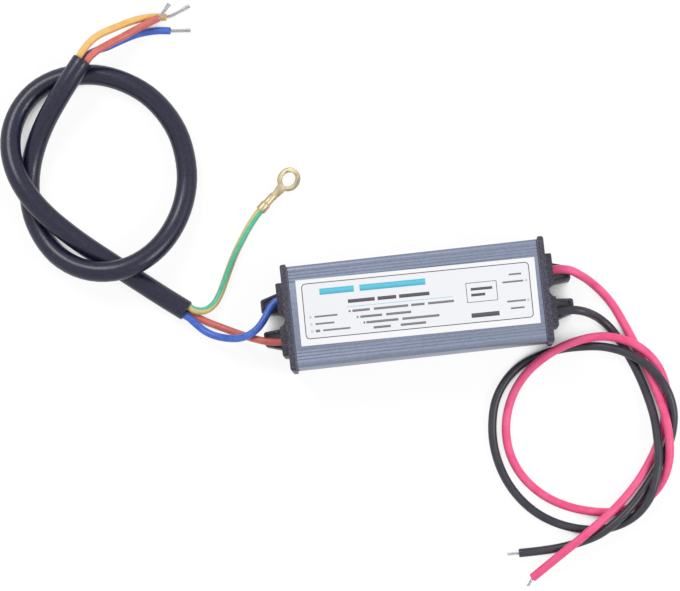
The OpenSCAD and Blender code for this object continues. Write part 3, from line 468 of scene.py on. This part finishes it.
# Copper with a thin skin of tin: pale, slightly blue, with dull streaks along each strand.
tinned_copper, tree = blank("tinned_copper")
place = add(tree, "ShaderNodeTexCoord").outputs["Object"]
spots = noise(tree, place, 1 / 0.0007, 3.0)
coat(tree, {"Base Color": blend(tree, spots, "#94949A", "#CECED2"),
            "Roughness": remap(tree, spots, end=(0.2, 0.45)), "Metallic": 1.0})


def plain_mesh(carrier, name):
    """The carrier's result as a plain mesh object at the origin. The carrier itself is removed."""
    mesh = bpy.data.meshes.new_from_object(carrier.evaluated_get(bpy.context.evaluated_depsgraph_get()))
    mesh.name = name
    bpy.data.objects.remove(carrier)
    piece = bpy.data.objects.new(name, mesh)
    scene.collection.objects.link(piece)
    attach(piece, "root")
    return piece


def stripped_end(name, node, path, length, bend, splay, radius):
    """A bundle of strands that carries on from the end of a cord's path and bends sideways by an angle."""
    inside, steps, bent_by = 0.0015, 13, 5
    head = (path[-1] - path[-2]).normalized()
    aside = Vector((0, 0, 1)).cross(head).normalized()
    run = [path[-1] - head * inside]
    for i in range(steps):
        angle = math.radians(bend) * min(1, i / bent_by)
        run.append(run[-1] + (head * math.cos(angle) + aside * math.sin(angle)) * (length + inside) / steps)
    curve = bpy.data.curves.new(name, "CURVE")
    curve.dimensions = "3D"
    spline = curve.splines.new("POLY")
    spline.points.add(len(run) - 1)
    for point, place in zip(spline.points, run):
        point.co = (*place, 1)
    carrier = bpy.data.objects.new(name, curve)
    scene.collection.objects.link(carrier)
    modifier = carrier.modifiers.new("strands", "NODES")
    modifier.node_group = strands
    modifier[strand_keys["Splay"]] = splay
    modifier[strand_keys["Bundle Radius"]] = radius
    modifier[strand_keys["Finish"]] = tinned_copper
    piece = plain_mesh(carrier, name)
    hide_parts(node)
    return piece


core_bundle_r, lead_bundle_r, lead_splay = 0.00043, 0.00028, 0.1
for cord, path, name, length, bare_l, bend, splay in (
        (far_live, far_live_path, "far_live", 0.0312, 0.006, 28, 0.3),
        (far_neutral, far_neutral_path, "far_neutral", 0.0344, 0.007, 3, 0.15),
        (far_earth, far_earth_path, "far_earth", 0.0372, 0.009, 31, 0.3)):
    bare = stripped_end(name + "_strands", name + "_tip", path, bare_l, bend, splay, core_bundle_r)

for cord, path, name, length, bare_l, bend, side in (
        (positive, positive_path, "positive", 0.350, 0.0032, 20, 1),
        (negative, negative_path, "negative", 0.352, 0.004, 0, -1)):
    bare = stripped_end(name + "_strands", name + "_tip", path, bare_l, bend, lead_splay, lead_bundle_r)


# Ring terminal: stamped from brass sheet, its barrel rolled round the earth core and crimped shut.
# Its edges are the sheared edges of the sheet, slightly rounded by tumbling.
def softened(node, name, edge, *materials, notch=None):
    """A copy of a CAD node with its seams merged and its sharp edges rounded. A notch, given by the x of its
    floor, the x of the face it is cut into, its middle y and its half width, is closed first."""
    form = bmesh.new()
    form.from_mesh(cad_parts[node].data)
    if notch:
        floor_x, face_x, middle_y, half_width = notch
        for corner in form.verts:
            if abs(abs(corner.co.x) - floor_x) < 0.0001 and abs(abs(corner.co.y) - middle_y) < half_width:
                corner.co.x = math.copysign(face_x, corner.co.x)
    bmesh.ops.remove_doubles(form, verts=form.verts, dist=1e-6)
    bmesh.ops.dissolve_limit(form, angle_limit=math.radians(0.5), verts=form.verts, edges=form.edges)
    sharp = [e for e in form.edges if len(e.link_faces) == 2 and e.calc_face_angle() > math.radians(35)]
    bmesh.ops.bevel(form, geom=sharp, offset=edge, segments=2, profile=0.6, affect="EDGES",
                    clamp_overlap=True)
    mesh = bpy.data.meshes.new(name)
    form.to_mesh(mesh)
    form.free()
    for material in materials:
        mesh.materials.append(material)
    mesh.polygons.foreach_set("use_smooth", [True] * len(mesh.polygons))
    mesh.set_sharp_from_angle(angle=math.radians(40))
    piece = bpy.data.objects.new(name, mesh)
    scene.collection.objects.link(piece)
    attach(piece, "root")
    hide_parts(node)
    return piece


# Rolled brass, a warm straw colour that has dulled in spots, with fine rolling lines along the strip.
brass, tree = blank("rolled_brass")
place = add(tree, "ShaderNodeTexCoord").outputs["Object"]
strip_turn = math.radians(-42.6)
turned = add(tree, "ShaderNodeMapping", {
    "Vector": place, "Rotation": (0, 0, strip_turn), "Scale": (300, 5000, 5000)})
lines = noise(tree, turned.outputs[0], 1.0, 2.0)
spots = noise(tree, place, 1 / 0.004, 3.0)
coat(tree, {
    "Base Color": blend(tree, spots, "#A8987A", "#CFC19E"), "Roughness": remap(tree, spots, end=(0.38, 0.52)),
    "Metallic": 1.0, "Normal": bumps(tree, lines, 0.15, 0.00003)})

terminal = softened("ring_terminal", "ring_terminal_brass", 0.00014, brass)


# Case: one length of extruded aluminium tube, sawn off and blue-grey anodised. Four fine grooves run along
# each long edge of its top, and the saw's burr is broken to a thin bright chamfer at both ends.
low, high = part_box("case_extrusion")
case_x, case_y, case_z0, case_z1 = high[0], high[1], low[2], high[2]
edge_r, inner_r = 0.0015, 0.0008
wall = 0.0018
groove_first, groove_pitch, groove_n = 0.0024, 0.0011, 4
groove_depth, groove_points = 0.00022, 12
groove_shape = []
for i in range(groove_points):
    dy = groove_pitch * ((i + 0.5) / groove_points - 0.5)
    groove_shape.append((dy, groove_depth * (1 + math.cos(2 * math.pi * dy / groove_pitch)) / 2))
broken_edge = 0.00015


def rounded(y, z0, z1, r, steps, top=()):
    """A rectangle about the middle line with round corners, anticlockwise, with extra points along its top."""
    loop = []
    for cy, cz, start in ((y - r, z0 + r, -90), (y - r, z1 - r, 0),
                          (r - y, z1 - r, 90), (r - y, z0 + r, 180)):
        if start == 90:
            loop += top
        for i in range(steps + 1):
            a = math.radians(start + 90 * i / steps)
            loop.append((cy + r * math.cos(a), cz + r * math.sin(a)))
    return loop


grooved = []
for side in (1, -1):
    rows = range(groove_n) if side > 0 else reversed(range(groove_n))
    for i in rows:
        middle = side * (case_y - groove_first - i * groove_pitch)
        grooved += [(middle - dy, case_z1 - depth) for dy, depth in groove_shape]
outer = rounded(case_y, case_z0, case_z1, edge_r, 8, grooved)
inner = rounded(case_y - wall, case_z0 + wall, case_z1 - wall, inner_r, 3)


def shrunk(loop, by):
    """The loop, moved inwards square to its own edge."""
    moved = []
    for a, b, c in zip(loop[-1:] + loop, loop, loop[1:] + loop[:1]):
        along = (Vector(c) - Vector(a)).normalized()
        moved.append((b[0] - along.y * by, b[1] + along.x * by))
    return moved


points, loops = [], []
for x, loop in ((-case_x, inner), (-case_x, shrunk(outer, broken_edge)), (-case_x + broken_edge, outer),
                (case_x - broken_edge, outer), (case_x, shrunk(outer, broken_edge)), (case_x, inner)):
    loops.append(range(len(points), len(points) + len(loop)))
    points += [(x, y, z) for y, z in loop]
form = bmesh.new()
corners = [form.verts.new(p) for p in points]
rings = []
for loop in loops:
    pairs = zip(loop, [*loop[1:], loop[0]])
    rings.append([form.edges.new((corners[i], corners[j])) for i, j in pairs])
for a, b in zip(rings, rings[1:] + rings[:1]):
    bmesh.ops.bridge_loops(form, edges=a + b)
bmesh.ops.recalc_face_normals(form, faces=form.faces)
mesh = bpy.data.meshes.new("case_extrusion_anodised")
form.to_mesh(mesh)
form.free()
mesh.polygons.foreach_set("use_smooth", [True] * len(mesh.polygons))
mesh.set_sharp_from_angle(angle=math.radians(35))
case = bpy.data.objects.new("case_extrusion_anodised", mesh)
scene.collection.objects.link(case)

# Anodised aluminium: satin blue-grey metal with die lines along X, 0.25 mm apart, and small dull freckles.
# The real lines are finer, and are drawn this coarse so that they show.
aluminium, tree = blank("satin_anodised_aluminium")
place = add(tree, "ShaderNodeTexCoord").outputs["Object"]
die_line_gap, freckle = 0.00025, 0.0008
drawn = add(tree, "ShaderNodeMapping", {"Vector": place, "Scale": (25, 1 / die_line_gap, 1 / die_line_gap)})
lines = noise(tree, drawn.outputs[0], 1.0, 2.0)
mixed = calc(tree, "ADD", lines, noise(tree, place, 1 / freckle, 4.0, 0.65))
spread = remap(tree, mixed, (0.7, 1.3))
coat(tree, {
    "Base Color": blend(tree, spread, "#757D91", "#8D95A9"), "Roughness": remap(tree, spread, end=(0.5, 0.36)),
    "Metallic": 0.85, "Normal": bumps(tree, mixed, 0.35, 0.00003)})
mesh.materials.append(aluminium)
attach(case, "root")
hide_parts("case_extrusion")


# Label: self-adhesive film with a printed frame line round a faintly tinted field. The print is bare bars
# and dots in the places where such a label carries its words, and names nothing.
low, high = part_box("rating_label")
label_mid = Vector(((low[0] + high[0]) / 2, (low[1] + high[1]) / 2, high[2]))
label_turn = math.radians(-0.7)
field_x, field_y, field_r = 0.0390, 0.00945, 0.0013
field_off = (-0.00015, 0.0004)

# Coated film: near white, satin, with the paper-like mottle of a cheap print, and a tinted field.
label_film, tree = blank("coated_label_film")
place = add(tree, "ShaderNodeTexCoord").outputs["Object"]
squared = add(tree, "ShaderNodeMapping", {
    "Vector": place, "Location": label_mid, "Rotation": (0, 0, label_turn)}, vector_type="TEXTURE")
apart = add(tree, "ShaderNodeSeparateXYZ", {0: squared.outputs[0]}).outputs
inside = calc(tree, "MULTIPLY", calc(tree, "COMPARE", apart[0], field_off[0], field_x),
              calc(tree, "COMPARE", apart[1], field_off[1], field_y))
mottle = remap(tree, noise(tree, place, 1 / 0.0012, 3.0), end=(0.97, 1))
tint = blend(tree, inside, "#FDFEFF", "#F8F9FD")
shade = add(tree, "ShaderNodeVectorMath", {0: tint, 1: mottle}, operation="MULTIPLY")
coat(tree, {"Base Color": shade.outputs[0], "Roughness": 0.45, "Specular IOR Level": 0.3})


def dressed(node, material):
    """Gives a CAD node a material in place of its own."""
    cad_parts[node].data.materials.clear()
    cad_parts[node].data.materials.append(material)


dressed("rating_label", label_film)

prints, given, print_keys = node_tree("printed_bars", {"Ink Share": 0.05})
lines = add(prints, "GeometryNodeMeshToCurve", {"Mesh": given["Geometry"]})
upright = add(prints, "GeometryNodeSetCurveNormal", {"Curve": lines.outputs[0]}, mode="Z_UP")
height = add(prints, "GeometryNodeInputNamedAttribute", {"Name": "bar_height"}, data_type="FLOAT")
flat = add(prints, "GeometryNodeCurvePrimitiveQuadrilateral", {"Width": 1.0, "Height": given["Ink Share"]})
swept = add(prints, "GeometryNodeCurveToMesh", {"Curve": upright.outputs[0], "Profile Curve": flat.outputs[0],
                                                "Scale": height.outputs[0], "Fill Caps": True})
real = add(prints, "GeometryNodeRealizeInstances", {"Geometry": swept.outputs[0]})
inked = add(prints, "GeometryNodeSetMaterial", {"Geometry": real.outputs[0], "Material": given["Finish"]})
add(prints, "NodeGroupOutput", {0: inked.outputs[0]})


def printed(name, ink, bars, closed=()):
    """Bars of ink on the label, from rows of left end, right end, middle line and height in millimetres."""
    points, edges, heights = [], [], []
    for x0, x1, y, tall in bars:
        edges.append((len(points), len(points) + 1))
        points += [(x0, y), (x1, y)]
        heights += [tall, tall]
    for loop, tall in closed:
        first = len(points)
        edges += [(first + i, first + (i + 1) % len(loop)) for i in range(len(loop))]
        points += loop
        heights += [tall] * len(loop)
    mesh = bpy.data.meshes.new(name)
    square_on = Matrix.Translation(label_mid) @ Matrix.Rotation(label_turn, 4, "Z")
    mesh.from_pydata([square_on @ Vector((x / 1000, y / 1000, 0)) for x, y in points], edges, [])
    tall_at = mesh.attributes.new("bar_height", "FLOAT", "POINT")
    tall_at.data.foreach_set("value", [h / 1000 for h in heights])
    carrier = bpy.data.objects.new(name, mesh)
    scene.collection.objects.link(carrier)
    modifier = carrier.modifiers.new("prints", "NODES")
    modifier.node_group = prints
    modifier[print_keys["Finish"]] = ink
    plain_mesh(carrier, name)


def dot(x, y, r):
    """A small printed ring."""
    return [(x + r * math.cos(a * math.pi / 6), y + r * math.sin(a * math.pi / 6)) for a in range(12)]


field_edge = rounded(field_x, -field_y, field_y, field_r, 6)
frame_line = [(1000 * (x + field_off[0]), 1000 * (y + field_off[1])) for x, y in field_edge]
dark_ink = mottled("dark_grey_ink", "#4A4A50", "#5E5E64", 0.0004, 0.5, 0.000004)
mid_ink = mottled("mid_grey_ink", "#75767C", "#8B8C92", 0.0004, 0.5, 0.000004)
blue_ink = mottled("sky_blue_ink", "#4CC3E0", "#6FD2EA", 0.0004, 0.5, 0.000004)
printed("label_print_title", blue_ink, [
    (-33.2, -21.4, 6.7, 2.1), (-19.4, 3.2, 6.7, 2.1), (-24.5, 11.9, 0.6, 0.14)])
printed("label_print_heading", dark_ink, [
    (-23.8, -14.6, 2.5, 1.2), (-13.6, -7.2, 2.5, 1.2), (-6.2, 4.2, 2.5, 1.2), (17.8, 27.4, -6.6, 1.5)])
print_rows = [
    (-22.6, -16.6, -0.9, 0.8), (-15.2, -3.4, -0.9, 0.8), (-2.4, 2.2, -0.9, 0.8), (3.4, 12.3, -0.9, 0.8),
    (-20.1, -12.6, -3.2, 0.8), (-11.2, -2.6, -3.2, 0.8), (-18.2, -7.2, -5.3, 0.8), (-5.8, 6.9, -5.3, 0.8),
    (-15.9, -10.0, -7.3, 0.8), (-6.6, 2.1, -7.3, 0.8), (-35.7, -27.8, -1.7, 0.6), (-35.6, -29.1, -4.2, 0.6),
    (-35.7, -34.2, -6.6, 0.9), (-33.2, -23.8, -6.6, 0.6), (31.8, 36.1, 6.2, 0.6), (29.4, 36.6, 3.7, 0.6),
    (30.4, 36.8, -3.0, 0.6), (31.4, 36.1, -5.4, 0.6), (-23.9, -23.2, -0.9, 0.7), (-21.3, -20.7, -3.2, 0.7),
    (-19.2, -18.6, -5.3, 0.7)]
dot_r, dot_line = 0.32, 0.12
dots = ((-37.1, -1.7), (-37.0, -4.2), (-36.9, -6.6), (37.6, 3.7), (37.7, -3.0))
printed("label_print_small", mid_ink, print_rows, [(dot(x, y, dot_r), dot_line) for x, y in dots])
printed("label_print_frame", dark_ink, [(18.4, 25.8, 2.4, 0.9), (18.4, 23.2, 0.4, 0.9)],
        [(frame_line, 0.3), ([(16.9, -2.0), (27.3, -2.0), (27.3, 4.6), (16.9, 4.6)], 0.3)])


# End caps: black ABS, moulded in one piece with a plug that fits inside the tube. Two hollow tongues stand
# out beside the screw slot, each with a shallow trough on top that the lead passes over.
trough_z, cap_face_x = 0.0084, 0.0478
black_abs = mottled(
    "moulded_black_abs", "#15141C", "#625F71", 0.0007, 0.5, 0.0001, **{"Specular IOR Level": 0.35})
# The trough floors come off a polished part of the mould, so they look paler and greener.
# The upward trough floors get a paler, greener copy of the black plastic: painted light on their lit faces.
lit_trough_abs = mottled("black_abs_painted_light", "#3E4342", "#565C5A", 0.0012, 0.4, 0.00002)
# The notch across each boss is flush with it here, because from above it would show as a gap.
boss_notch = (0.0466, cap_face_x, 0.0113, 0.0006)
for end in ("input", "output"):
    cap = softened(end + "_end_cap", end + "_end_cap_moulded", 0.00022, black_abs, lit_trough_abs,
                   notch=boss_notch)
    # Faces on the trough floors that point straight up take the paler copy, a painted light.
    for face in cap.data.polygons:
        on_floor = face.normal.z > 0.98 and abs(face.center.z - trough_z) < 0.0002
        if on_floor and abs(face.center.x) > cap_face_x:
            face.material_index = 1


# Gaskets: a sheet of grey silicone rubber, punched to the tube's section and squeezed between its sawn end
# and the cap's flange. Only its edge shows, as a thin line at each end of the case.
# The rubber's grey is made pale so that its thin line shows light: partly its own colour, partly a painted
# highlight for the bright edges at the case's ends.
gasket_rubber_and_highlight = mottled("grey_rubber_painted_highlight", "#6E7080", "#808292", 0.0006, 0.75, 0.00004)
for end in ("input", "output"):
    dressed(end + "_gasket", gasket_rubber_and_highlight)


# Inside the case: the glass-fibre board in the tube's rails, with its parts soldered through it, and a film
# under it. None of it shows while the case is shut.
hidden = {
    "insulation_sheet": mottled("polyester_film", "#DAD4C0", "#EDE8D8", 0.004, 0.35, 0.00002),
    "circuit_board": mottled("solder_mask_on_laminate", "#0E4A2A", "#1C6B3E", 0.0009, 0.35, 0.00003),
    "input_fuse": mottled("moulded_black_epoxy", "#16161A", "#2A2A2E", 0.0006, 0.5, 0.00003),
    "varistor": mottled("blue_dipped_epoxy", "#1E4FA8", "#2F66C4", 0.0018, 0.3, 0.00006),
    "x_capacitor": mottled("yellow_moulded_box", "#D9A915", "#EFC23A", 0.0012, 0.4, 0.00003),
    "choke_core": mottled("dark_ferrite", "#27282B", "#3B3C40", 0.0005, 0.6, 0.00004),
    "choke_windings": mottled("enamelled_copper", "#8C4A1F", "#B5682F", 0.001, 0.25, 0.00002, Metallic=0.9),
    "input_capacitor": mottled("can_sleeve_film", "#14203F", "#223258", 0.002, 0.3, 0.00003),
    "transformer_winding": mottled("polyester_tape", "#C9961F", "#E0B13C", 0.003, 0.3, 0.00003),
    "chip_resistors": mottled("glazed_alumina", "#22242A", "#8C8E94", 0.0011, 0.4, 0.00002)}
for node in ("bridge_rectifier", "controller_chip", "switch_transistor", "output_diode", "transformer_bobbin"):
    hidden[node] = hidden["input_fuse"]
hidden["y_capacitor"] = hidden["varistor"]
hidden["transformer_core"] = hidden["choke_core"]
hidden["output_capacitor"] = hidden["input_capacitor"]
for node, material in hidden.items():
    dressed(node, material)
